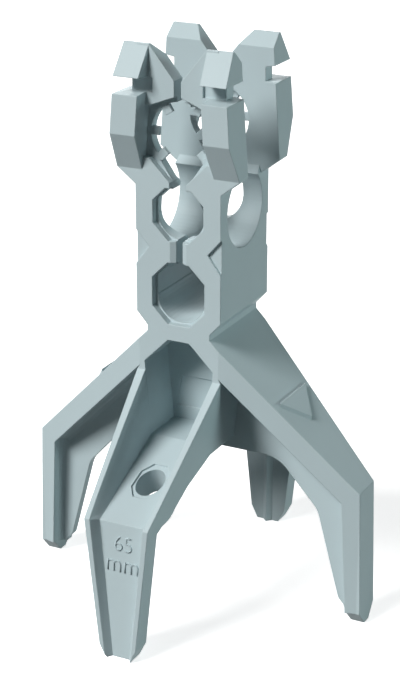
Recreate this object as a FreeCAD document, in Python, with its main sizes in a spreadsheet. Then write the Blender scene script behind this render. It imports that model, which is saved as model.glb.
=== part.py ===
import FreeCAD
import Part
import os
import Sketcher

# A rebar chair: a short tower with seats for crossing bars, on four spread legs.
# X runs along the front, Y away from it, Z up; the ground is Z = 0.

os.makedirs("parts", exist_ok=True)
doc = FreeCAD.newDocument("rebar_chair")

DIMENSIONS = (
    # tower
    ("tower_width", 15.7, "width of the tower along X"),
    ("tower_depth", 18.3, "depth of the tower along Y"),
    ("tower_foot", 54.0, "height where the tower starts to narrow"),
    ("tower_top", 76.2, "height where the prongs flare out"),
    ("waist_width", 11.7, "width of the waist under the tower"),
    ("waist_height", 51.8, "height where the waist starts"),
    # side legs
    ("roof_outer", 56.6, "X plus Z on the outside of the sloping side plates"),
    ("roof_inner", 51.6, "X plus Z on the inside of the sloping side plates"),
    ("arch_half", 2.0, "half width of the flat top of the arch under the tower"),
    ("side_knee_x", 31.25, "distance of the outer knee of a side leg"),
    ("side_knee_in_x", 28.2, "distance of the inner knee of a side leg"),
    ("side_foot_x", 32.0, "distance of the outside of a side foot"),
    ("side_foot_in_x", 29.45, "distance of the inside of a side foot"),
    ("side_leg_width", 6.3, "width of a side leg from its knee down"),
    ("side_toe_width", 1.9, "width of the toe a side leg stands on"),
    ("side_toe_height", 2.5, "height of the cut corners over the toe"),
    ("taper_start_x", 7.5, "distance where a side plate starts to narrow"),
    # web between the side legs
    ("web_thickness", 1.6, "thickness of the web between the side legs"),
    ("web_under", 28.1, "height of the underside of the web"),
    ("web_bend_x", 14.9, "distance where the underside of the web turns down"),
    ("web_knee_x", 22.6, "distance of the inner knee of the web"),
    ("web_knee_z", 19.6, "height of the inner knee of the web"),
    ("web_heel_x", 26.9, "distance of the heel of the web"),
    ("web_heel_z", 3.6, "height of the heel of the web"),
    ("web_foot_x", 28.3, "distance of the foot of the web"),
    ("web_foot_z", 2.1, "clearance of the web over the ground"),
    ("web_bend_round", 6.3, "radius of the underside of the web at that bend"),
    ("web_knee_round", 4.5, "radius of the web at its inner knee"),
    ("web_heel_round", 1.6, "radius of the web at its heel"),
    ("web_fillet", 1.5, "radius of the fillet between the web and the side legs"),
    ("panel_low_z", 34.2, "height of the lower edge of the sunk panel on the web"),
    ("panel_high_z", 39.9, "height of the upper edge of that panel"),
    ("panel_low_half", 4.75, "half width of that panel at its lower edge"),
    ("panel_high_half", 3.7, "half width of that panel at its upper edge"),
    ("panel_depth", 0.25, "depth of that panel"),
    # front and back legs
    ("trough_join_z", 43.4, "height where a front leg leaves the tower"),
    ("trough_knee_y", 31.5, "distance of the outer knee of a front leg"),
    ("trough_knee_z", 25.2, "height of the outer knee of a front leg"),
    ("trough_foot_y", 31.65, "distance of the outside of a front foot"),
    ("trough_foot_in_y", 27.9, "distance of the inside of a front foot"),
    ("trough_under", 30.5, "height of the underside where the legs meet"),
    ("trough_half_foot", 3.16, "half width a front leg would have at the ground"),
    ("trough_spread", 0.1095, "growth of that half width per height"),
    ("trough_toe_half", 2.2, "half width of a front toe"),
    ("trough_toe_height", 2.5, "height of the cut corners of a front toe"),
    ("floor_z", 31.75, "height of the floor of the hollow under the tower"),
    ("floor_knee_y", 29.6, "distance of the knee of the trough bottom"),
    ("floor_knee_z", 24.6, "height of the knee of the trough bottom"),
    ("floor_foot_y", 30.5, "distance of the trough bottom at the ground"),
    ("hollow_half_floor", 5.3, "half width of the hollow at its floor"),
    ("hollow_half_top", 6.5, "half width of the hollow at the roof"),
    ("floor_knee_half", 4.05, "half width of the trough bottom at its knee"),
    ("mouth_knee_half", 4.9, "half width of the trough mouth at its knee"),
    ("floor_foot_half", 1.5, "half width of the trough bottom at the ground"),
    ("mouth_foot_half", 2.35, "half width of the trough mouth at the ground"),
    ("rib_thickness", 1.4, "thickness of the rib behind a front leg"),
    ("rib_height", 0.9, "height of the rib behind a front leg"),
    ("rib_foot_half", 0.95, "half width of the ridge that this rib turns into below the knee"),
    ("rib_foot_top", 20.8, "height where it does so"),
    ("tie_y", 19.5, "distance of the tie hole through a front leg"),
    ("tie_half", 2.35, "half width of the tie hole"),
    ("tie_reach", 3.25, "half length of the tie hole"),
    ("tie_boss_half", 4.0, "half width of the boss under the tie hole"),
    ("tie_boss_reach", 6.0, "half length of that boss"),
    ("tie_boss_shift", 2.0, "shift of that boss towards the foot"),
    ("tie_depth", 5.2, "depth of that boss under the bottom of the trough"),
    ("tie_pad_half", 2.65, "half width of the sunk pad round the tie hole"),
    ("tie_pad_reach", 4.15, "half length of that pad"),
    ("tie_pad_corner", 1.4, "cut corner of that pad across the leg"),
    ("tie_pad_slant", 2.2, "cut corner of that pad along the leg"),
    ("tie_pad_depth", 0.3, "depth of that pad"),
    # marks on the side plates
    ("arrow_base_x", 17.15, "distance of the base of the raised arrow"),
    ("arrow_tip_x", 20.8, "distance of the tip of the raised arrow"),
    ("arrow_half", 5.3, "half width of the raised arrow"),
    ("arrow_rise", 0.55, "height of the raised arrow"),
    # seats along Y
    ("low_seat_z", 57.05, "height of the axis of the low seat"),
    ("low_seat", 8.9, "diameter of the low seat"),
    ("mid_seat_z", 71.4, "height of the axis of the middle seat"),
    ("mid_seat", 8.5, "diameter of the middle seat"),
    ("top_seat_z", 85.0, "height of the axis of the top seat"),
    ("top_seat", 11.0, "diameter of the top seat"),
    ("sunk_depth", 1.3, "depth of the sunk pads round the lower seats"),
    ("low_pad_z", 57.9, "height of the middle of the lower sunk pad"),
    ("low_pad_half", 4.9, "half width of the lower sunk pad"),
    ("low_pad_rise", 5.45, "half height of the lower sunk pad"),
    ("mid_pad_z", 71.6, "height of the middle of the upper sunk pad"),
    ("mid_pad_half", 4.7, "half width of the upper sunk pad"),
    ("mid_pad_rise", 4.55, "half height of the upper sunk pad"),
    ("pad_corner", 2.9, "cut corner of the sunk pads"),
    ("mid_pad_corner", 2.3, "upper cut corner of the upper sunk pad"),
    ("seat_inset", 0.38, "inset of a lower seat from its sunk pad"),
    ("slit", 1.2, "width of the slit between the two lower seats"),
    ("slit_mouth", 3.0, "width of the bevelled mouth of the slit"),
    ("slit_bevel_depth", 0.55, "depth of the bevelled mouth of the slit"),
    ("neck", 3.1, "width of the neck over the middle seat"),
    ("neck_top", 77.1, "height of the top of the neck"),
    ("funnel_half", 5.3, "half width of the top of the funnel"),
    ("funnel_top", 80.9, "height of the top of the funnel"),
    ("throat_half", 3.9, "half width of the throat where it meets the top seat"),
    ("throat_top", 80.5, "height where the throat meets the top seat"),
    # seat along X
    ("cross_seat_z", 71.7, "height of the axis of the cross seat"),
    ("cross_seat", 13.4, "diameter of the cross seat"),
    ("cross_neck_half", 4.95, "half width of the neck over the cross seat"),
    ("cross_slot_half", 6.05, "half width of the slot between the prongs"),
    ("cross_slot_z", 77.5, "height where the slot has its full width"),
    # notches in the tower corners
    ("notch_depth", 0.5, "depth of the corner notches"),
    ("notch_low", 62.3, "height of the lower end of the corner notches"),
    ("notch_mid", 65.7, "height of the point of the corner notches"),
    ("notch_high", 68.4, "height of the upper end of the corner notches"),
    ("notch_reach", 5.45, "distance of the point of the corner notches from the middle"),
    # prongs
    ("prong_out_low", 11.25, "outer distance of a prong at its flare"),
    ("prong_out_high", 9.8, "outer distance of a prong at its ridge"),
    ("prong_in_low", 6.75, "inner distance of a prong at its flare"),
    ("prong_in_high", 5.2, "inner distance of a prong at its ridge"),
    ("flare_z", 78.8, "height of the top of the flare"),
    ("bulge_low_z", 85.1, "height where the bulge reaches its full depth"),
    ("bulge_high_z", 91.7, "height of the top of the bulge"),
    ("bulge_low_y", 12.3, "reach of the bulge at its lower edge"),
    ("bulge_high_y", 12.15, "reach of the bulge at its top"),
    ("neck_in_x", 4.55, "inner end of the recess under a barb"),
    ("neck_out_x", 8.5, "outer distance of the neck of a prong"),
    ("neck_out_y", 8.6, "outer reach of the neck of a prong"),
    ("barb_z", 94.6, "height of the underside of the barb"),
    ("ridge_z", 99.7, "height of the ridge of a prong"),
    ("ridge_out_y", 8.85, "outer edge of the ridge"),
    ("ridge_in_y", 8.4, "inner edge of the ridge"),
    ("head_in_z", 97.6, "height where the head slopes to the ridge"),
    # lips
    ("lip_face_y", 9.05, "distance of the outside of the lips"),
    ("lip_gap_half", 0.65, "half gap between two lips"),
    ("lip_tip_low", 91.45, "height of the lower corner of a lip"),
    ("lip_tip_high", 94.1, "height of the upper corner of a lip"),
    ("lip_root_low", 89.8, "height of the underside of a lip at its root"),
    ("rim_face_y", 7.85, "distance of the outside of the rim of the top seat"),
    # teeth in the top seat
    ("tooth", 1.4, "width of a tooth"),
    ("tooth_depth", 0.7, "depth of a tooth along Y"),
    ("tooth_reach", 4.0, "distance of the teeth from the seat axis"),
    ("tooth_high", 58.0, "angle of the upper teeth"),
    ("tooth_level", 3.0, "angle of the middle teeth"),
    ("tooth_low", 46.0, "angle of the lower teeth"),
)

sheet = doc.addObject("Spreadsheet::Sheet", "Sizes")
for row, (alias, value, note) in enumerate(DIMENSIONS, 1):
    sheet.set(f"A{row}", note)
    sheet.set(f"B{row}", str(value))
    sheet.setAlias(f"B{row}", alias)
doc.recompute()
ALIASES = sorted((entry[0] for entry in DIMENSIONS), key=len, reverse=True)


def linked(text):
    """An expression in which the words of the sheet are written out."""
    words = []
    for word in text.replace("(", " ( ").replace(")", " ) ").split():
        words.append("Sizes." + word if word in ALIASES else word)
    return " ".join(words).replace("tan (", "tan(").replace("cos (", "cos(").replace("sin (", "sin(")


def bind(item, prop, text):
    item.setExpression(prop, linked(text))


def origin_plane(body, role):
    return next(plane for plane in body.Origin.OriginFeatures if plane.Role == role)


def new_body(name):
    return doc.addObject("PartDesign::Body", name)


def new_sketch(body, name, role):
    sketch = body.newObject("Sketcher::SketchObject", name)
    sketch.AttachmentSupport = [(origin_plane(body, role), "")]
    sketch.MapMode = "FlatFace"
    return sketch


def add_outline(sketch, points):
    """A closed outline whose corners are held by two distances each."""
    start = sketch.GeometryCount
    count = len(points)
    corners = []
    for across, up in points:
        values = [float(sketch.evalExpression(linked(part))) for part in (across, up)]
        corners.append(FreeCAD.Vector(values[0], values[1], 0))
    for index in range(count):
        line = Part.LineSegment(corners[index], corners[(index + 1) % count])
        sketch.addGeometry(line, False)
    for index in range(count):
        following = start + (index + 1) % count
        sketch.addConstraint(Sketcher.Constraint("Coincident", start + index, 2, following, 1))
    for index in range(count):
        for kind, value, text in zip(("DistanceX", "DistanceY"), corners[index], points[index]):
            held = sketch.addConstraint(Sketcher.Constraint(kind, -1, 1, start + index, 1, value))
            bind(sketch, f"Constraints[{held}]", text)


def both_sides(points):
    """The same points followed by their mirror images in the middle line."""
    mirrored = [(f"-( {across} )", up) for across, up in reversed(points)]
    return list(points) + mirrored


def other_side(points):
    return [(f"-( {across} )", up) for across, up in reversed(points)]


def pad(body, sketch, length):
    feature = body.newObject("PartDesign::Pad", sketch.Name + "_pad")
    feature.Profile = sketch
    feature.Type = "Length"
    feature.Midplane = True
    bind(feature, "Length", length)
    sketch.Visibility = False
    return feature


def prism(name, role, outlines, length, middle="0"):
    """A body padded evenly to both sides of a plane parallel to an origin plane."""
    body = new_body(name)
    sketch = new_sketch(body, name + "_outline", role)
    bind(sketch, "AttachmentOffset.Base.z", middle)
    for points in outlines:
        add_outline(sketch, points)
    pad(body, sketch, length)
    doc.recompute()
    return body


def round_corners(body, corners):
    """Rounds corners of a body padded from the XZ plane; each is given by X, Z and a radius."""
    for across, up, radius in corners:
        places = [float(sheet.evalExpression(linked(part).replace("Sizes.", ""))) for part in (across, up)]
        names = []
        last = body.Tip
        for number, edge in enumerate(last.Shape.Edges, 1):
            middle = edge.CenterOfMass
            if abs(abs(middle.x) - places[0]) < 0.01 and abs(middle.z - places[1]) < 0.01:
                names.append(f"Edge{number}")
        feature = body.newObject("PartDesign::Fillet", body.Name + "_" + radius)
        feature.Base = (last, names)
        bind(feature, "Radius", radius)
        doc.recompute()


def united(name, members):
    item = doc.addObject("Part::MultiFuse", name)
    item.Shapes = members
    doc.recompute()
    return item


def shared(name, first, second):
    item = doc.addObject("Part::Common", name)
    item.Base = first
    item.Tool = second
    doc.recompute()
    return item


def without(name, base, tool):
    item = doc.addObject("Part::Cut", name)
    item.Base = base
    item.Tool = tool
    doc.recompute()
    return item


def cylinder(name, diameter, length, across_x, height):
    """A cylinder through the middle, along X or along Y."""
    item = doc.addObject("Part::Cylinder", name)
    bind(item, "Radius", f"{diameter} / 2")
    bind(item, "Height", length)
    if across_x:
        item.Placement.Rotation = FreeCAD.Rotation(FreeCAD.Vector(0, 1, 0), 90)
        bind(item, "Placement.Base.x", f"-( {length} ) / 2")
    else:
        item.Placement.Rotation = FreeCAD.Rotation(FreeCAD.Vector(1, 0, 0), 90)
        bind(item, "Placement.Base.y", f"( {length} ) / 2")
    bind(item, "Placement.Base.z", height)
    return item


THROUGH = "3 * tower_depth"
HALF_WIDTH = "tower_width / 2"
HALF_WAIST = "waist_width / 2"
HALF_DEPTH = "tower_depth / 2"

# side legs: sloping plates that turn down at the knees
side_plates = prism(
    "side_plates", "XZ_Plane",
    [both_sides([
        ("arch_half", "roof_inner - arch_half"),
        ("side_knee_in_x", "roof_inner - side_knee_in_x"),
        ("side_foot_in_x", "0"),
        ("side_foot_x", "0"),
        ("side_knee_x", "roof_outer - side_knee_x"),
        (HALF_WAIST, f"roof_outer - {HALF_WAIST}"),
        (HALF_WAIST, "waist_height"),
    ])],
    "tower_depth")
side_plan = prism(
    "side_plan", "XY_Plane",
    [[
        ("taper_start_x", HALF_DEPTH),
        ("side_knee_x", "side_leg_width / 2"),
        ("2 * side_knee_x", "side_leg_width / 2"),
        ("2 * side_knee_x", "-( side_leg_width / 2 )"),
        ("side_knee_x", "-( side_leg_width / 2 )"),
        ("taper_start_x", f"-( {HALF_DEPTH} )"),
        ("-( taper_start_x )", f"-( {HALF_DEPTH} )"),
        ("-( side_knee_x )", "-( side_leg_width / 2 )"),
        ("-( 2 * side_knee_x )", "-( side_leg_width / 2 )"),
        ("-( 2 * side_knee_x )", "side_leg_width / 2"),
        ("-( side_knee_x )", "side_leg_width / 2"),
        ("-( taper_start_x )", HALF_DEPTH),
    ]],
    "4 * tower_foot")
side_legs = shared("side_legs", side_plates, side_plan)
side_feet = prism(
    "side_feet", "YZ_Plane",
    [both_sides([
        ("side_toe_width / 2", "0"),
        ("side_leg_width / 2", "side_toe_height"),
        ("tower_depth", "side_toe_height"),
        ("tower_depth", "tower_foot"),
    ])],
    "4 * side_knee_x")
side_legs_cut = shared("side_legs_cut", side_legs, side_feet)

# web that joins the side legs
web_points = [
    ("web_bend_x", "web_under"),
    ("web_knee_x", "web_knee_z"),
    ("web_heel_x", "web_heel_z"),
    ("web_foot_x", "web_foot_z"),
    ("side_foot_in_x + 0.3 * ( side_foot_x - side_foot_in_x )", "web_foot_z"),
    ("side_knee_in_x + 0.3 * ( side_knee_x - side_knee_in_x )", "roof_inner - side_knee_in_x"),
    ("arch_half", "roof_inner"),
]
web = prism("web", "XZ_Plane", [both_sides(web_points)], "web_thickness")
round_corners(web, [
    ("web_bend_x", "web_under", "web_bend_round"),
    ("web_knee_x", "web_knee_z", "web_knee_round"),
    ("web_heel_x", "web_heel_z", "web_heel_round"),
])


def fillet_band(reach):
    """A band along the inside of the side legs that comes a reach out of them."""
    outer = [
        ("side_foot_in_x + 0.6", "web_foot_z"),
        ("side_knee_in_x + 0.6", "roof_inner - side_knee_in_x + 0.25"),
        ("arch_half", "roof_inner - arch_half + 0.85"),
    ]
    inner = [
        (f"side_foot_in_x - {reach}", "web_foot_z"),
        (f"side_knee_in_x - {reach}", f"roof_inner - side_knee_in_x - 0.414 * {reach}"),
        ("arch_half", f"roof_inner - arch_half - 1.414 * {reach}"),
    ]
    return both_sides(outer) + both_sides(inner)[::-1]


# each step of the fillet: its height over the web and its reach, as parts of the radius
FILLET_STEPS = ((1.0, -0.02), (0.4, 0.2), (0.13, 0.51), (0.0, 1.0))
web_fillets = new_body("web_fillets")
fillet_sections = []
for side in (-1, 1):
    for height, reach in FILLET_STEPS[::-side]:
        section = new_sketch(web_fillets, f"web_fillet_{len(fillet_sections)}", "XZ_Plane")
        bind(section, "AttachmentOffset.Base.z", f"{side} * ( web_thickness / 2 - 0.02 + {height} * web_fillet )")
        add_outline(section, fillet_band(f"( {reach} ) * web_fillet"))
        section.Visibility = False
        fillet_sections.append(section)
fillet_loft = web_fillets.newObject("PartDesign::AdditiveLoft", "web_fillet_loft")
fillet_loft.Profile = fillet_sections[0]
fillet_loft.Sections = fillet_sections[1:]
fillet_loft.Ruled = True
doc.recompute()

# front and back legs: troughs open to the outside
trough_points = [
    ("( tower_depth ) / 2", "roof_inner - hollow_half_top"),
    ("( tower_depth ) / 2", "trough_join_z"),
    ("trough_knee_y", "trough_knee_z"),
    ("trough_foot_y", "trough_toe_height"),
    ("trough_foot_y", "0"),
    ("trough_foot_in_y", "0"),
    ("trough_foot_in_y", "trough_knee_z - 1.9"),
    ("trough_knee_y - 5.5", "trough_knee_z - 1.1"),
    ("trough_knee_y - 9.2", "trough_knee_z"),
    ("trough_knee_y - 13.6", "trough_under - 2.7"),
    ("tower_depth * 0.55", "trough_under"),
]
trough_side = prism("trough_side", "YZ_Plane", [both_sides(trough_points)], "2 * tower_width")
trough_front = prism(
    "trough_front", "XZ_Plane",
    [both_sides([
        ("trough_toe_half", "0"),
        ("trough_half_foot + trough_spread * trough_toe_height", "trough_toe_height"),
        ("trough_half_foot + trough_spread * trough_join_z", "trough_join_z"),
        ("hollow_half_top", "roof_inner - hollow_half_top + arch_half / 4"),
    ])],
    "4 * trough_foot_y")
trough_legs = shared("trough_legs", trough_side, trough_front)
ribs = prism(
    "ribs", "YZ_Plane",
    [both_sides([
        ("tower_depth * 0.5", "trough_under + 1"),
        ("tower_depth * 0.5", "trough_under"),
        ("trough_knee_y - 14.0", "trough_under - 3.7"),
        ("trough_knee_y - 9.6", "trough_knee_z - 1.0"),
        ("trough_knee_y - 5.8", "trough_knee_z - 2.1"),
        ("trough_foot_in_y - rib_height", "rib_foot_top"),
        ("trough_foot_in_y + rib_height", "rib_foot_top"),
        ("trough_foot_in_y + rib_height", "trough_knee_z"),
        ("trough_knee_y - 9.6", "trough_knee_z + 2.0"),
    ])],
    "rib_thickness")
foot_rib = [
    ("rib_foot_half", "trough_foot_in_y + 0.5"),
    ("-( rib_foot_half )", "trough_foot_in_y + 0.5"),
    ("-( rib_foot_half )", "trough_foot_in_y"),
    ("0", "trough_foot_in_y - rib_height"),
    ("rib_foot_half", "trough_foot_in_y"),
]
foot_rib_back = [(across, f"-( {up} )") for across, up in foot_rib]
foot_ribs = prism("foot_ribs", "XY_Plane", [foot_rib, foot_rib_back], "rib_foot_top", "rib_foot_top / 2")

FLOOR_RUN = f"( floor_knee_y - {HALF_DEPTH} )"
FLOOR_ANGLE = f"atan( ( floor_z - floor_knee_z ) / {FLOOR_RUN} )"
TIE_Z = f"floor_z - ( floor_z - floor_knee_z ) * ( tie_y - {HALF_DEPTH} ) / {FLOOR_RUN}"


def lay_on_floor(item, prop, side, depth, shift):
    """Puts an item a depth under the bottom of a trough, square to it."""
    bind(item, prop + ".Rotation.Angle", FLOOR_ANGLE)
    bind(item, prop + ".Base.y",
         f"-{side} * ( tie_y + ( {shift} ) * cos( {FLOOR_ANGLE} ) - ( {depth} ) * sin( {FLOOR_ANGLE} ) )")
    bind(item, prop + ".Base.z",
         f"{TIE_Z} - ( {shift} ) * sin( {FLOOR_ANGLE} ) - ( {depth} ) * cos( {FLOOR_ANGLE} )")


def tie_oval(name, side, half, reach, length, depth, shift):
    """An oval block through the bottom of a trough."""
    outline = doc.addObject("Part::Ellipse", name + "_outline")
    bind(outline, "MajorRadius", reach)
    bind(outline, "MinorRadius", half)
    outline.Placement.Rotation = FreeCAD.Rotation(FreeCAD.Vector(0, 0, 1), 90)
    item = doc.addObject("Part::Extrusion", name)
    item.Base = outline
    item.DirMode = "Custom"
    item.Dir = FreeCAD.Vector(0, 0, 1)
    item.Symmetric = True
    item.Solid = True
    bind(item, "LengthFwd", length)
    item.Placement.Rotation = FreeCAD.Rotation(FreeCAD.Vector(side, 0, 0), 19)
    lay_on_floor(item, "Placement", side, depth, shift)
    doc.recompute()
    return item


def tie_pad(name, side):
    """The eight-sided sunk pad round a tie hole."""
    body = new_body(name)
    sketch = new_sketch(body, name + "_outline", "XY_Plane")
    sketch.AttachmentOffset = FreeCAD.Placement(
        FreeCAD.Vector(0, 0, 0),
        FreeCAD.Rotation(FreeCAD.Vector(side, 0, 0), 19))
    lay_on_floor(sketch, "AttachmentOffset", side, "0", "0")
    add_outline(sketch, both_sides([
        ("tie_pad_half - tie_pad_corner", "-( tie_pad_reach )"),
        ("tie_pad_half", "tie_pad_slant - tie_pad_reach"),
        ("tie_pad_half", "tie_pad_reach - tie_pad_slant"),
        ("tie_pad_half - tie_pad_corner", "tie_pad_reach"),
    ]))
    pad(body, sketch, "2 * tie_pad_depth")
    doc.recompute()
    return body


tie_bosses = []
tie_holes = []
for side, word in ((1, "front"), (-1, "back")):
    tie_bosses.append(tie_oval("tie_boss_" + word, side, "tie_boss_half", "tie_boss_reach",
                               "tie_depth - 0.6", "( tie_depth + 0.6 ) / 2", "tie_boss_shift"))
    tie_holes.append(tie_pad("tie_pad_" + word, side))
    tie_holes.append(tie_oval("tie_hole_" + word, side, "tie_half", "tie_reach",
                              "2 * tie_depth + 2", "0", "0"))

# tower with its waist
tower = prism(
    "tower", "XZ_Plane",
    [both_sides([
        (HALF_WAIST, "roof_inner - arch_half"),
        (HALF_WAIST, "waist_height"),
        (HALF_WIDTH, "tower_foot"),
        (HALF_WIDTH, "tower_top"),
        ("prong_in_low + 0.5", "flare_z"),
        ("prong_in_low + 0.5", "funnel_top"),
    ])],
    "tower_depth")

# prongs, all four at once
prong_side = [
    ("cross_slot_half", "tower_top"),
    (HALF_DEPTH, "tower_top"),
    (HALF_DEPTH, "flare_z"),
    ("bulge_low_y", "bulge_low_z"),
    ("bulge_high_y", "bulge_high_z"),
    ("neck_out_y", "bulge_high_z + 0.2"),
    ("neck_out_y", "barb_z - 0.3"),
    ("bulge_high_y", "barb_z"),
    ("ridge_out_y", "ridge_z"),
    ("ridge_in_y", "ridge_z"),
    ("cross_slot_half", "head_in_z"),
]
PRONG_LEAN = "( prong_out_low - prong_out_high ) / ( ridge_z - flare_z )"
prong_front = [
    ("prong_in_low", "tower_top"),
    (HALF_WIDTH, "tower_top"),
    ("prong_out_low", "flare_z"),
    (f"prong_out_low - {PRONG_LEAN} * ( bulge_high_z - flare_z )", "bulge_high_z"),
    ("neck_out_x", "bulge_high_z + 0.2"),
    ("neck_out_x", "barb_z - 0.3"),
    (f"prong_out_low - {PRONG_LEAN} * ( barb_z - flare_z )", "barb_z"),
    ("prong_out_high", "ridge_z"),
    ("prong_in_high", "ridge_z"),
]
prong_pair_side = prism("prong_pair_side", "YZ_Plane", [prong_side, other_side(prong_side)],
                        "4 * tower_width")
prong_pair_front = prism("prong_pair_front", "XZ_Plane", [prong_front, other_side(prong_front)],
                         "4 * tower_depth")
prongs = shared("prongs", prong_pair_side, prong_pair_front)

# recess that leaves the neck under each barb
neck_gap = [
    ("neck_in_x", "bulge_high_z + 0.2"),
    ("2 * tower_width", "bulge_high_z + 0.2"),
    ("2 * tower_width", "barb_z - 0.3"),
    ("neck_in_x", "barb_z - 0.3"),
]
neck_gaps = prism("neck_gaps", "XZ_Plane", [neck_gap, other_side(neck_gap)], "4 * tower_depth")
neck_core = prism(
    "neck_core", "XZ_Plane",
    [both_sides([("3 * tower_width", "top_seat_z"), ("3 * tower_width", "ridge_z")])],
    "2 * neck_out_y")
neck_recess = without("neck_recess", neck_gaps, neck_core)

# lips that close the top seat
lip_front = [
    ("prong_in_low + 0.5", "ridge_z"),
    ("prong_in_high", "ridge_z"),
    ("lip_gap_half", "lip_tip_high"),
    ("lip_gap_half", "lip_tip_low"),
    ("funnel_half - 0.45", "lip_root_low"),
    ("prong_in_low + 0.5", "lip_root_low - 0.4"),
]
lip_side = [
    ("cross_slot_half", "lip_root_low - 0.6"),
    ("lip_face_y", "lip_root_low - 0.6"),
    ("lip_face_y", "ridge_z - 0.1"),
    ("ridge_out_y", "ridge_z"),
    ("ridge_in_y", "ridge_z"),
    ("cross_slot_half", "head_in_z"),
]
lip_pair_front = prism("lip_pair_front", "XZ_Plane", [lip_front, other_side(lip_front)], "tower_depth")
lip_pair_side = prism("lip_pair_side", "YZ_Plane", [lip_side, other_side(lip_side)], "2 * tower_width")
lips = shared("lips", lip_pair_front, lip_pair_side)

# thin rim of the top seat, set back between the prongs
rim_front = [
    ("prong_in_low + 0.5", "funnel_top - 0.5"),
    ("prong_in_low + 0.5", "lip_tip_low"),
    ("lip_gap_half", "lip_tip_low + 0.3"),
    ("lip_gap_half", "funnel_top - 0.5"),
]
rim_side = [
    ("cross_slot_half", "funnel_top - 0.5"),
    ("rim_face_y", "funnel_top - 0.5"),
    ("rim_face_y", "lip_tip_high"),
    ("cross_slot_half", "lip_tip_high"),
]
rim_pair_front = prism("rim_pair_front", "XZ_Plane", [rim_front, other_side(rim_front)], "tower_depth")
rim_pair_side = prism("rim_pair_side", "YZ_Plane", [rim_side, other_side(rim_side)], "2 * tower_width")
rims = shared("rims", rim_pair_front, rim_pair_side)

# raised arrows on the side plates
arrow_points = [
    ("arrow_base_x", "-( arrow_half )"),
    ("arrow_tip_x", "0"),
    ("arrow_base_x", "arrow_half"),
]
arrow_plan = prism("arrow_plan", "XY_Plane", [arrow_points, other_side(arrow_points)], "4 * tower_foot")
arrow_slope = [
    ("arrow_base_x - 2", "roof_outer - arrow_base_x"),
    ("arrow_base_x - 2", "roof_outer + 2 + 1.414 * arrow_rise - arrow_base_x"),
    ("arrow_tip_x + 2", "roof_outer - 2 + 1.414 * arrow_rise - arrow_tip_x"),
    ("arrow_tip_x + 2", "roof_outer - 4 - arrow_tip_x"),
]
arrow_layer = prism("arrow_layer", "XZ_Plane", [arrow_slope, other_side(arrow_slope)], "tower_depth")
arrows = shared("arrows", arrow_plan, arrow_layer)

whole = united("whole", [side_legs_cut, web, web_fillets, trough_legs, ribs, foot_ribs] + tie_bosses
               + [tower, prongs, lips, rims, arrows])

# hollow of the front and back legs
hollow = prism(
    "hollow", "XZ_Plane",
    [both_sides([
        ("hollow_half_floor", "floor_z"),
        ("hollow_half_top", "roof_inner - hollow_half_top"),
        ("arch_half", "roof_inner - arch_half"),
    ])],
    "tower_depth + 2")


def add_trough(name, side):
    """The hollow of one leg, lofted from the tower past the knee to the ground."""
    body = new_body(name)
    join = new_sketch(body, name + "_join", "XZ_Plane")
    bind(join, "AttachmentOffset.Base.z", f"{side} * ( {HALF_DEPTH} )")
    add_outline(join, both_sides([
        ("hollow_half_floor", "floor_z"),
        ("hollow_half_top + 0.2", "roof_inner - 5"),
    ]))
    knee = new_sketch(body, name + "_knee", "XY_Plane")
    knee.AttachmentOffset = FreeCAD.Placement(
        FreeCAD.Vector(0, 0, 0),
        FreeCAD.Rotation(FreeCAD.Vector(1, 0, 0), -side * 17.2))
    bind(knee, "AttachmentOffset.Base.y", f"-{side} * floor_knee_y")
    bind(knee, "AttachmentOffset.Base.z", "floor_knee_z")
    add_outline(knee, both_sides([
        ("floor_knee_half", "0"),
        ("mouth_knee_half + ( mouth_knee_half - floor_knee_half )", f"-{side} * 3.8"),
    ]))
    foot = new_sketch(body, name + "_foot", "XY_Plane")
    bind(foot, "AttachmentOffset.Base.z", "-0.8")
    add_outline(foot, both_sides([
        ("floor_foot_half", f"-{side} * floor_foot_y"),
        ("mouth_foot_half + 1.7 * ( mouth_foot_half - floor_foot_half )",
         f"-{side} * ( floor_foot_y + 3.2 )"),
    ]))
    loft = body.newObject("PartDesign::AdditiveLoft", name + "_loft")
    loft.Profile = join
    loft.Sections = [knee, foot]
    loft.Ruled = True
    for sketch in (join, knee, foot):
        sketch.Visibility = False
    doc.recompute()
    return body


trough_cut_front = add_trough("trough_cut_front", 1)
trough_cut_back = add_trough("trough_cut_back", -1)
hollows = united("hollows", [hollow, trough_cut_front, trough_cut_back])
hollows_cut = without("hollows_cut", hollows, web)

panel = prism(
    "panel", "XZ_Plane",
    [both_sides([
        ("panel_low_half", "panel_low_z"),
        ("panel_high_half", "panel_high_z"),
    ])],
    "web_thickness + 2")
panel_core = prism(
    "panel_core", "XZ_Plane",
    [both_sides([("tower_width", "floor_z"), ("tower_width", "roof_inner")])],
    "web_thickness - 2 * panel_depth")
panel_sunk = without("panel_sunk", panel, panel_core)


def octagon(half, middle, rise, corner):
    """An eight-sided outline with its own upper corners."""
    return both_sides([
        (f"{half} - pad_corner", f"{middle} - {rise}"),
        (half, f"{middle} - {rise} + pad_corner"),
        (half, f"{middle} + {rise} - {corner}"),
        (f"{half} - {corner}", f"{middle} + {rise}"),
    ])


# seats and their sunk pads
sunk_pads = prism(
    "sunk_pads", "XZ_Plane",
    [octagon("low_pad_half", "low_pad_z", "low_pad_rise", "pad_corner"),
     octagon("mid_pad_half", "mid_pad_z", "mid_pad_rise", "mid_pad_corner")],
    "tower_depth + 2")
sunk_core = prism(
    "sunk_core", "XZ_Plane",
    [both_sides([("tower_width", "waist_height / 2"), ("tower_width", "top_seat_z")])],
    "tower_depth - 2 * sunk_depth")
sunk = without("sunk", sunk_pads, sunk_core)

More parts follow.
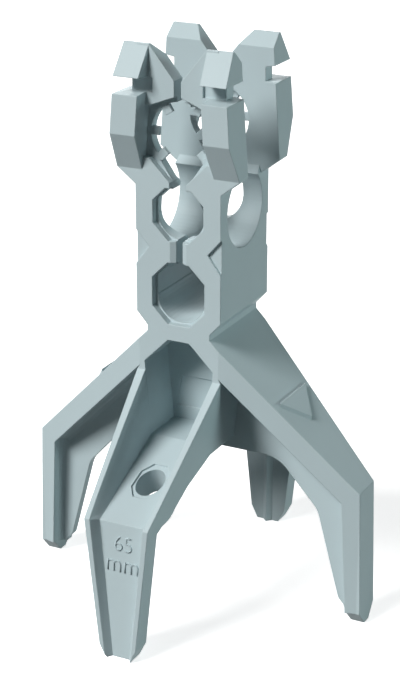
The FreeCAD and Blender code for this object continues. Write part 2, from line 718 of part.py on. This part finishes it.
notch = [
    (HALF_WIDTH + " + 1", "notch_low - 1.2"),
    (HALF_WIDTH + " + 1", "notch_high + 1.2"),
    ("notch_reach", "notch_mid"),
]
notches = prism("notches", "XZ_Plane", [notch, other_side(notch)], "tower_depth + 2")
notch_core = prism(
    "notch_core", "XZ_Plane",
    [both_sides([("tower_width", "waist_height"), ("tower_width", "top_seat_z")])],
    "tower_depth - 2 * notch_depth")
notches_cut = without("notches_cut", notches, notch_core)

slit_gap = prism(
    "slit_gap", "XZ_Plane",
    [both_sides([("slit / 2", "low_seat_z"), ("slit / 2", "mid_seat_z")])],
    "tower_depth + 2")
slit_bevel = prism(
    "slit_bevel", "XY_Plane",
    [both_sides([("slit_mouth / 2", HALF_DEPTH), ("slit / 2", f"{HALF_DEPTH} - slit_bevel_depth")]),
     both_sides([("slit_mouth / 2", f"-( {HALF_DEPTH} )"),
                 ("slit / 2", f"slit_bevel_depth - {HALF_DEPTH}")])],
    "2 * mid_seat_z")
slit_span = prism(
    "slit_span", "XZ_Plane",
    [both_sides([("tower_width", "low_seat_z"), ("tower_width", "mid_seat_z")])],
    "2 * tower_depth")
slit_mouths = shared("slit_mouths", slit_bevel, slit_span)

funnel = prism(
    "funnel", "XZ_Plane",
    [both_sides([
        ("neck / 2", "mid_seat_z"),
        ("neck / 2", "neck_top"),
        ("throat_half", "throat_top"),
        ("lip_gap_half", "top_seat_z + top_seat / 2"),
        ("lip_gap_half", "ridge_z + 1"),
    ])],
    "tower_depth + 2")
funnel_wide = prism(
    "funnel_wide", "XZ_Plane",
    [both_sides([
        ("neck / 2", "neck_top"),
        ("funnel_half", "funnel_top"),
        ("funnel_half", "top_seat_z"),
    ])],
    "tower_depth + 2")
funnel_core = prism(
    "funnel_core", "XZ_Plane",
    [both_sides([("tower_width", "tower_top"), ("tower_width", "ridge_z")])],
    "2 * rim_face_y")
funnel_mouth = without("funnel_mouth", funnel_wide, funnel_core)


def seat_top(axis_z, half, middle, rise, corner):
    """The part of a lower seat over its axis, which follows the sunk pad."""
    return both_sides([
        (f"{half} - seat_inset", axis_z),
        (f"{half} - seat_inset", f"{middle} + {rise} - {corner}"),
        (f"{half} - {corner}", f"{middle} + {rise} - seat_inset"),
    ])


seat_tops = prism(
    "seat_tops", "XZ_Plane",
    [seat_top("low_seat_z", "low_pad_half", "low_pad_z", "low_pad_rise", "pad_corner"),
     seat_top("mid_seat_z", "mid_pad_half", "mid_pad_z", "mid_pad_rise", "mid_pad_corner")],
    "tower_depth + 2")
low_bore = cylinder("low_bore", "low_seat", THROUGH, False, "low_seat_z")
mid_bore = cylinder("mid_bore", "mid_seat", THROUGH, False, "mid_seat_z")
top_bore = cylinder("top_bore", "top_seat", THROUGH, False, "top_seat_z")
cross_bore = cylinder("cross_bore", "cross_seat", "4 * tower_width", True, "cross_seat_z")
cross_slot = prism(
    "cross_slot", "YZ_Plane",
    [both_sides([
        ("cross_neck_half - 0.6", "cross_seat_z"),
        ("cross_neck_half", "tower_top"),
        ("cross_slot_half", "cross_slot_z"),
        ("cross_slot_half", "ridge_z + 1"),
    ])],
    "4 * tower_width")

opened = whole
for tool in [hollows_cut, panel_sunk, neck_recess, sunk, notches_cut, slit_gap, slit_mouths, funnel, funnel_mouth,
             seat_tops, low_bore, mid_bore, top_bore, cross_bore, cross_slot] + tie_holes:
    opened = without("less_" + tool.Name, opened, tool)


def add_tooth(name, angle, mirrored):
    """A square peg standing into the top seat."""
    item = doc.addObject("Part::Box", name)
    bind(item, "Length", "top_seat / 2 - tooth_reach + 0.4")
    bind(item, "Width", "tooth_depth")
    bind(item, "Height", "tooth")
    turn = f"180 - ( {angle} )" if mirrored else angle
    item.Placement.Rotation = FreeCAD.Rotation(FreeCAD.Vector(0, -1, 0), 10)
    bind(item, "Placement.Rotation.Angle", turn)
    bind(item, "Placement.Base.x", f"tooth_reach * cos( {turn} ) + tooth / 2 * sin( {turn} )")
    bind(item, "Placement.Base.z", f"top_seat_z + tooth_reach * sin( {turn} ) - tooth / 2 * cos( {turn} )")
    return item


# the teeth at the front left and back right stand outside, the others inside
TOOTH_PLACES = (
    ("front_left", True, "-( rim_face_y )"),
    ("front_right", False, "-( cross_slot_half + tooth_depth )"),
    ("back_left", True, "cross_slot_half"),
    ("back_right", False, "rim_face_y - tooth_depth"),
)
teeth = []
for level, angle in (("high", "tooth_high"), ("level", "tooth_level"), ("low", "-( tooth_low )")):
    for corner, mirrored, place in TOOTH_PLACES:
        tooth = add_tooth(f"tooth_{level}_{corner}", angle, mirrored)
        bind(tooth, "Placement.Base.y", place)
        teeth.append(tooth)

chair = united("rebar_chair", [opened] + teeth)
chair.Refine = True
doc.recompute()

problems = []
for item in doc.Objects:
    if "Invalid" in item.State or "Error" in item.State:
        problems.append(item.Name)
if problems:
    raise RuntimeError("not built: " + ", ".join(problems))
shape = chair.Shape
if shape.isNull() or not shape.isValid() or len(shape.Solids) != 1:
    raise RuntimeError(f"the chair is not one valid solid: {len(shape.Solids)}")
shape.exportStep("parts/rebar_chair.step")
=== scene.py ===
"""A moulded plastic rebar chair on a white floor."""
import math

import bmesh
import bpy
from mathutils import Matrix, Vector


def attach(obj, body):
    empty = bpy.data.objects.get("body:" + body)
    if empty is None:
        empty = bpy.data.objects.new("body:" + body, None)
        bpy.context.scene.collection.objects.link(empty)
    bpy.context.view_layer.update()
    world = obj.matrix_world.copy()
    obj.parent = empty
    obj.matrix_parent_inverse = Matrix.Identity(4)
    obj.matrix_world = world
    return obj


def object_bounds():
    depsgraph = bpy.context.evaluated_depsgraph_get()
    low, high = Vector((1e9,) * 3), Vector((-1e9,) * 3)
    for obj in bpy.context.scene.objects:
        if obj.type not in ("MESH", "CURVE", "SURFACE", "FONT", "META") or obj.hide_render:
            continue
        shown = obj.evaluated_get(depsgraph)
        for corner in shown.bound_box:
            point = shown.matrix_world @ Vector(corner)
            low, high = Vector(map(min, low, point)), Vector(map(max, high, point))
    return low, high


bl_info = {
    "name": "Rebar Chair",
    "version": (1, 0, 0),
    "blender": (4, 5, 0),
    "location": "3D View > Sidebar > Rebar Chair",
    "description": "Dresses a moulded rebar chair and sets its stage",
    "category": "Object",
}

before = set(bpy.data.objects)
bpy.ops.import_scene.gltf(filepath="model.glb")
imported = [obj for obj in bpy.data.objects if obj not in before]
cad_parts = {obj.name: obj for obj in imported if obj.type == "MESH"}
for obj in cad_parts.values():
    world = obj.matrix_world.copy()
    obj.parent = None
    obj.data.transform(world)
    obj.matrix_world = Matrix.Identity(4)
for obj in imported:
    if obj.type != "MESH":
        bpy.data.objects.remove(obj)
CAD_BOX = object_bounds()
NODE = "rebar_chair"
BODY = "root"


# Settings


class ChairSettings(bpy.types.PropertyGroup):
    """Colour and finish of the plastic."""

    plastic_colour: bpy.props.FloatVectorProperty(
        name="Plastic colour",
        description="Colour of the moulded plastic",
        subtype="COLOR", size=3, min=0.0, max=1.0,
        default=(0.45, 0.545, 0.57))
    roughness: bpy.props.FloatProperty(
        name="Roughness",
        description="Roughness of the moulded surface",
        default=0.48, min=0.0, max=1.0, subtype="FACTOR")
    edge_radius: bpy.props.FloatProperty(
        name="Edge radius",
        description="Radius that the light sees on the moulded edges",
        default=0.00022, min=0.0, unit="LENGTH")


class MarkSettings(bpy.types.PropertyGroup):
    """Raised size marking on the front leg."""

    relief: bpy.props.FloatProperty(
        name="Relief",
        description="Height of the raised marks",
        default=0.00016, min=0.00001, unit="LENGTH")
    rooting: bpy.props.FloatProperty(
        name="Rooting",
        description="How deep the marks start under the surface",
        default=0.00003, min=0.0, unit="LENGTH")
    thinning: bpy.props.FloatProperty(
        name="Thinning",
        description="How much is taken off each side of a stroke, as a part of the font size",
        default=0.021, min=0.0)
    number_height: bpy.props.FloatProperty(
        name="Number height",
        description="Height of the size number's figures",
        default=0.0026, min=0.0001, unit="LENGTH")
    number_width: bpy.props.FloatProperty(
        name="Number width",
        description="Width of the size number as a part of its normal width",
        default=0.93, min=0.1)
    number_place: bpy.props.FloatVectorProperty(
        name="Number place",
        description="Middle of the number: across from the leg's centre line, and above the ground",
        default=(0.00040, 0.02106), size=2, unit="LENGTH")
    unit_height: bpy.props.FloatProperty(
        name="Unit height",
        description="Height of the unit's letters",
        default=0.0020, min=0.0001, unit="LENGTH")
    unit_width: bpy.props.FloatProperty(
        name="Unit width",
        description="Width of the unit as a part of its normal width",
        default=0.87, min=0.1)
    unit_place: bpy.props.FloatVectorProperty(
        name="Unit place",
        description="Middle of the unit: across from the leg's centre line, and above the ground",
        default=(0.00030, 0.01695), size=2, unit="LENGTH")
    leg_top: bpy.props.FloatVectorProperty(
        name="Leg top",
        description="Point in the middle of the leg's front, at its knee",
        default=(0.0, -0.0296, 0.0246), subtype="TRANSLATION")
    leg_foot: bpy.props.FloatVectorProperty(
        name="Leg foot",
        description="Point in the middle of the leg's front, at the ground",
        default=(0.0, -0.0305, 0.0), subtype="TRANSLATION")


class StageSettings(bpy.types.PropertyGroup):
    """Camera, lamps and floor."""

    azimuth: bpy.props.FloatProperty(
        name="Azimuth",
        description="Angle of the camera round the chair",
        default=math.radians(26.901), subtype="ANGLE")
    elevation: bpy.props.FloatProperty(
        name="Elevation",
        description="Angle of the camera above the ground",
        default=math.radians(21.243), subtype="ANGLE")
    distance: bpy.props.FloatProperty(
        name="Distance",
        description="Distance of the camera from the point it looks at",
        default=0.32507, unit="LENGTH")
    aim: bpy.props.FloatVectorProperty(
        name="Aim",
        description="Point in the middle of the picture",
        default=(-0.00044, -0.00022, 0.04552), subtype="TRANSLATION")
    lens: bpy.props.FloatProperty(
        name="Lens",
        description="Focal length on a 36 mm sensor, in millimetres",
        default=97.47)
    key_from: bpy.props.FloatVectorProperty(
        name="Key from",
        description="Where the key lamp shines from",
        default=(-0.343, -0.672, 0.656), subtype="DIRECTION")
    key_strength: bpy.props.FloatProperty(
        name="Key strength",
        description="Strength of the key lamp",
        default=3.85, min=0.0)
    key_softness: bpy.props.FloatProperty(
        name="Key softness",
        description="How wide the key lamp looks from the chair",
        default=math.radians(24.0), min=0.0, subtype="ANGLE")
    side_from: bpy.props.FloatVectorProperty(
        name="Side light from",
        description="Where the lamp on the right shines from",
        default=(0.990, 0.139, 0.017), subtype="DIRECTION")
    side_strength: bpy.props.FloatProperty(
        name="Side strength",
        description="Strength of the lamp on the right",
        default=1.75, min=0.0)
    side_softness: bpy.props.FloatProperty(
        name="Side softness",
        description="How wide the lamp on the right looks from the chair",
        default=math.radians(24.0), min=0.0, subtype="ANGLE")
    back_from: bpy.props.FloatVectorProperty(
        name="Back light from",
        description="Where the weak lamp at the back shines from",
        default=(-0.33, 0.908, 0.26), subtype="DIRECTION")
    back_strength: bpy.props.FloatProperty(
        name="Back strength",
        description="Strength of the weak lamp at the back",
        default=1.3, min=0.0)
    back_softness: bpy.props.FloatProperty(
        name="Back softness",
        description="How wide the weak lamp at the back looks from the chair",
        default=math.radians(40.0), min=0.0, subtype="ANGLE")
    fill_strength: bpy.props.FloatProperty(
        name="Fill strength",
        description="Strength of the light from all round",
        default=0.012, min=0.0)
    floor_reach: bpy.props.FloatProperty(
        name="Floor reach",
        description="Distance from the chair to each side of the floor",
        default=4.0, min=0.1, unit="LENGTH")
    floor_gap: bpy.props.FloatProperty(
        name="Floor gap",
        description="Gap between the feet and the floor",
        default=0.00002, min=0.0, unit="LENGTH")


# Materials


def node_of(tree, kind, place, **values):
    """A node of a kind, with the values of its sockets."""
    made = tree.nodes.new(kind)
    made.location = place
    for name, value in values.items():
        made.inputs[name.replace("_", " ")].default_value = value
    return made


def tinted(colour, share):
    """A colour made a little darker or lighter, for a colour socket."""
    return (*[min(1.0, share * part) for part in colour], 1.0)


def moulded_plastic(settings):
    """Satin plastic: faint mottle, a fine spark-eroded grain and softened edges."""
    material = bpy.data.materials.new("moulded_plastic")
    material.use_nodes = True
    tree = material.node_tree
    links = tree.links
    shader = tree.nodes["Principled BSDF"]
    shader.inputs["Specular IOR Level"].default_value = 0.15
    place = node_of(tree, "ShaderNodeTexCoord", (-1000, 0))

    mottle = node_of(tree, "ShaderNodeTexNoise", (-800, 200), Scale=45.0, Detail=4.0, Roughness=0.55)
    links.new(place.outputs["Object"], mottle.inputs["Vector"])
    tint = node_of(tree, "ShaderNodeValToRGB", (-600, 200))
    darker, lighter = tint.color_ramp.elements
    darker.position = 0.3
    darker.color = tinted(settings.plastic_colour, 0.975)
    lighter.position = 0.7
    lighter.color = tinted(settings.plastic_colour, 1.02)
    links.new(mottle.outputs["Fac"], tint.inputs["Fac"])
    links.new(tint.outputs["Color"], shader.inputs["Base Color"])

    sheen = node_of(tree, "ShaderNodeTexNoise", (-800, -100), Scale=160.0, Detail=3.0)
    links.new(place.outputs["Object"], sheen.inputs["Vector"])
    span = node_of(
        tree, "ShaderNodeMapRange", (-600, -100),
        To_Min=settings.roughness - 0.04, To_Max=settings.roughness + 0.05)
    links.new(sheen.outputs["Fac"], span.inputs["Value"])
    links.new(span.outputs["Result"], shader.inputs["Roughness"])

    grain = node_of(tree, "ShaderNodeTexNoise", (-800, -400), Scale=2400.0, Detail=2.0)
    links.new(place.outputs["Object"], grain.inputs["Vector"])
    soft_edge = node_of(tree, "ShaderNodeBevel", (-600, -600), Radius=settings.edge_radius)
    soft_edge.samples = 6
    bump = node_of(tree, "ShaderNodeBump", (-400, -400), Strength=0.06, Distance=0.00004)
    links.new(grain.outputs["Fac"], bump.inputs["Height"])
    links.new(soft_edge.outputs["Normal"], bump.inputs["Normal"])
    links.new(bump.outputs["Normal"], shader.inputs["Normal"])
    return material


def sees_white(tree):
    """One for camera, glossy and transmission rays, and zero for the rays that only light the chair."""
    rays = node_of(tree, "ShaderNodeLightPath", (-600, 300))
    seen = rays.outputs["Is Camera Ray"]
    for place, kind in (((-400, 300), "Is Glossy Ray"), ((-200, 300), "Is Transmission Ray")):
        either = node_of(tree, "ShaderNodeMath", place)
        either.operation = "MAXIMUM"
        tree.links.new(seen, either.inputs[0])
        tree.links.new(rays.outputs[kind], either.inputs[1])
        seen = either.outputs["Value"]
    return seen


def white_floor():
    """White that keeps a soft shadow of the chair, and lights the chair from below only a little."""
    material = bpy.data.materials.new("white_floor")
    material.use_nodes = True
    tree = material.node_tree
    links = tree.links
    paint = tree.nodes["Principled BSDF"]
    paint.inputs["Base Color"].default_value = (0.8, 0.8, 0.8, 1.0)
    paint.inputs["Roughness"].default_value = 0.9
    paint.inputs["Specular IOR Level"].default_value = 0.0
    glow = node_of(tree, "ShaderNodeEmission", (0, -300), Color=(1.0, 1.0, 1.0, 1.0), Strength=0.75)
    white = node_of(tree, "ShaderNodeAddShader", (200, 0))
    dull = node_of(tree, "ShaderNodeBsdfDiffuse", (0, 200), Color=(0.13, 0.142, 0.146, 1.0))
    mix = node_of(tree, "ShaderNodeMixShader", (400, 0))
    links.new(paint.outputs["BSDF"], white.inputs[0])
    links.new(glow.outputs["Emission"], white.inputs[1])
    links.new(sees_white(tree), mix.inputs["Fac"])
    links.new(dull.outputs["BSDF"], mix.inputs[1])
    links.new(white.outputs["Shader"], mix.inputs[2])
    links.new(mix.outputs["Shader"], tree.nodes["Material Output"].inputs["Surface"])
    return material


# Pieces


def raise_relief(flat, outward, height, root):
    """Turns a flat mesh into a thin block that starts just under the surface."""
    block = bmesh.new()
    block.from_mesh(flat)
    bmesh.ops.remove_doubles(block, verts=block.verts, dist=1e-7)
    for vertex in block.verts:
        vertex.co -= outward * root
    raised = bmesh.ops.extrude_face_region(block, geom=list(block.faces))
    for item in raised["geom"]:
        if isinstance(item, bmesh.types.BMVert):
            item.co += outward * (height + root)
    bmesh.ops.recalc_face_normals(block, faces=block.faces)
    block.to_mesh(flat)
    block.free()


def add_piece(context, name, mesh):
    """A piece in the plastic of the body that rides on it."""
    piece = bpy.data.objects.new(name, mesh)
    mesh.materials.append(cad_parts[NODE].data.materials[0])
    context.scene.collection.objects.link(piece)
    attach(piece, BODY)


class REBARCHAIR_OT_body(bpy.types.Operator):
    """Gives the moulded body its plastic"""

    bl_idname = "rebarchair.body"
    bl_label = "Moulded body"

    def execute(self, context):
        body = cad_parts[NODE]
        body.data.materials.clear()
        body.data.materials.append(moulded_plastic(context.scene.rebar_chair))
        for face in body.data.polygons:
            face.use_smooth = False
        return {"FINISHED"}


class REBARCHAIR_OT_size_marks(bpy.types.Operator):
    """Adds the raised size marking on the front leg"""

    bl_idname = "rebarchair.size_marks"
    bl_label = "Size marking"

    def execute(self, context):
        marks = context.scene.rebar_chair_marks
        self.add_word(
            context, marks, "size_number", "65", marks.number_height, marks.number_width, marks.number_place)
        self.add_word(
            context, marks, "size_unit", "mm", marks.unit_height, marks.unit_width, marks.unit_place)
        return {"FINISHED"}

    def flat_letters(self, context, name, words, thinning):
        """A flat mesh of the letters, one unit of font size high."""
        font = bpy.data.curves.new(name, "FONT")
        font.body = words
        font.size = 1.0
        font.offset = -thinning
        font.resolution_u = 4
        scratch = bpy.data.objects.new(name + "_text", font)
        context.scene.collection.objects.link(scratch)
        context.view_layer.update()
        flat = bpy.data.meshes.new_from_object(scratch)
        bpy.data.objects.remove(scratch)
        return flat

    def add_word(self, context, marks, name, words, height, width, place):
        """Sets a word on the sloping front of the leg."""
        foot = Vector(marks.leg_foot)
        upward = (Vector(marks.leg_top) - foot).normalized()
        across = Vector((1.0, 0.0, 0.0))
        outward = across.cross(upward)
        flat = self.flat_letters(context, name, words, marks.thinning)
        low = [min(vertex.co[axis] for vertex in flat.vertices) for axis in (0, 1)]
        high = [max(vertex.co[axis] for vertex in flat.vertices) for axis in (0, 1)]
        scale = height / (high[1] - low[1])
        centre = foot + across * place[0] + upward * (place[1] / upward.z)
        for vertex in flat.vertices:
            along = (vertex.co.x - (low[0] + high[0]) / 2) * scale * width
            rise = (vertex.co.y - (low[1] + high[1]) / 2) * scale
            vertex.co = centre + across * along + upward * rise
        raise_relief(flat, outward, marks.relief, marks.rooting)
        add_piece(context, name, flat)


class REBARCHAIR_OT_stage(bpy.types.Operator):
    """Sets the floor, the lamps and the camera"""

    bl_idname = "rebarchair.stage"
    bl_label = "Stage"

    def execute(self, context):
        stage = context.scene.rebar_chair_stage
        self.add_floor(context, stage)
        self.add_world(context, stage)
        self.add_sun(
            context, "key", stage.key_from, stage.key_strength, stage.key_softness, (1.0, 0.99, 0.98))
        self.add_sun(
            context, "side_light", stage.side_from, stage.side_strength, stage.side_softness,
            (0.82, 1.0, 0.99))
        self.add_sun(
            context, "back_light", stage.back_from, stage.back_strength, stage.back_softness,
            (0.95, 0.99, 1.0))
        self.add_camera(context, stage)
        context.scene.view_settings.view_transform = "Standard"
        return {"FINISHED"}

    def add_floor(self, context, stage):
        """A large square just under the feet."""
        reach = stage.floor_reach
        corners = [(-reach, -reach, 0), (reach, -reach, 0), (reach, reach, 0), (-reach, reach, 0)]
        mesh = bpy.data.meshes.new("floor")
        mesh.from_pydata(corners, [], [(0, 1, 2, 3)])
        mesh.materials.append(white_floor())
        floor = bpy.data.objects.new("floor", mesh)
        floor.location.z = CAD_BOX[0].z - stage.floor_gap
        context.scene.collection.objects.link(floor)

    def add_world(self, context, stage):
        """A white room that lights the chair only with the weak fill."""
        world = bpy.data.worlds.new("studio")
        context.scene.world = world
        world.use_nodes = True
        tree = world.node_tree
        links = tree.links
        fill = tree.nodes["Background"]
        fill.inputs["Color"].default_value = (0.93, 0.97, 1.0, 1.0)
        fill.inputs["Strength"].default_value = stage.fill_strength
        white = node_of(
            tree, "ShaderNodeBackground", (0, -200), Color=(1.0, 1.0, 1.0, 1.0), Strength=1.0)
        mix = node_of(tree, "ShaderNodeMixShader", (200, 0))
        links.new(sees_white(tree), mix.inputs["Fac"])
        links.new(fill.outputs["Background"], mix.inputs[1])
        links.new(white.outputs["Background"], mix.inputs[2])
        links.new(mix.outputs["Shader"], tree.nodes["World Output"].inputs["Surface"])

    def add_sun(self, context, name, towards, strength, softness, colour):
        """A lamp that shines from a direction towards the chair."""
        data = bpy.data.lights.new(name, "SUN")
        data.energy = strength
        data.angle = softness
        data.color = colour
        lamp = bpy.data.objects.new(name, data)
        lamp.rotation_mode = "QUATERNION"
        lamp.rotation_quaternion = Vector(towards).normalized().to_track_quat("Z", "Y")
        lamp.location = Vector(towards).normalized()
        context.scene.collection.objects.link(lamp)

    def add_camera(self, context, stage):
        """A camera that looks at the aim from its azimuth and elevation."""
        data = bpy.data.cameras.new("camera")
        data.lens = stage.lens
        data.sensor_width = 36.0
        data.clip_start = 0.01
        data.clip_end = 50.0
        camera = bpy.data.objects.new("camera", data)
        back = Vector((
            math.sin(stage.azimuth) * math.cos(stage.elevation),
            -math.cos(stage.azimuth) * math.cos(stage.elevation),
            math.sin(stage.elevation)))
        camera.location = Vector(stage.aim) + back * stage.distance
        camera.rotation_euler = (math.pi / 2 - stage.elevation, 0.0, stage.azimuth)
        context.scene.collection.objects.link(camera)
        context.scene.camera = camera


class REBARCHAIR_PT_panel(bpy.types.Panel):
    """Lists the settings and the pieces of the chair"""

    bl_idname = "REBARCHAIR_PT_panel"
    bl_label = "Rebar Chair"
    bl_space_type = "VIEW_3D"
    bl_region_type = "UI"
    bl_category = "Rebar Chair"

    def draw(self, context):
        scene = context.scene
        for group in (scene.rebar_chair, scene.rebar_chair_marks, scene.rebar_chair_stage):
            for name in group.__annotations__:
                self.layout.prop(group, name)
        for operator in PIECES:
            self.layout.operator(operator.bl_idname)


PIECES = (REBARCHAIR_OT_body, REBARCHAIR_OT_size_marks, REBARCHAIR_OT_stage)
CLASSES = (ChairSettings, MarkSettings, StageSettings, *PIECES, REBARCHAIR_PT_panel)


def register():
    for each in CLASSES:
        bpy.utils.register_class(each)
    bpy.types.Scene.rebar_chair = bpy.props.PointerProperty(type=ChairSettings)
    bpy.types.Scene.rebar_chair_marks = bpy.props.PointerProperty(type=MarkSettings)
    bpy.types.Scene.rebar_chair_stage = bpy.props.PointerProperty(type=StageSettings)


def unregister():
    del bpy.types.Scene.rebar_chair_stage
    del bpy.types.Scene.rebar_chair_marks
    del bpy.types.Scene.rebar_chair
    for each in reversed(CLASSES):
        bpy.utils.unregister_class(each)


def main():
    register()
    bpy.ops.rebarchair.body()
    bpy.ops.rebarchair.size_marks()
    bpy.ops.rebarchair.stage()


if __name__ == "__main__":
    main()
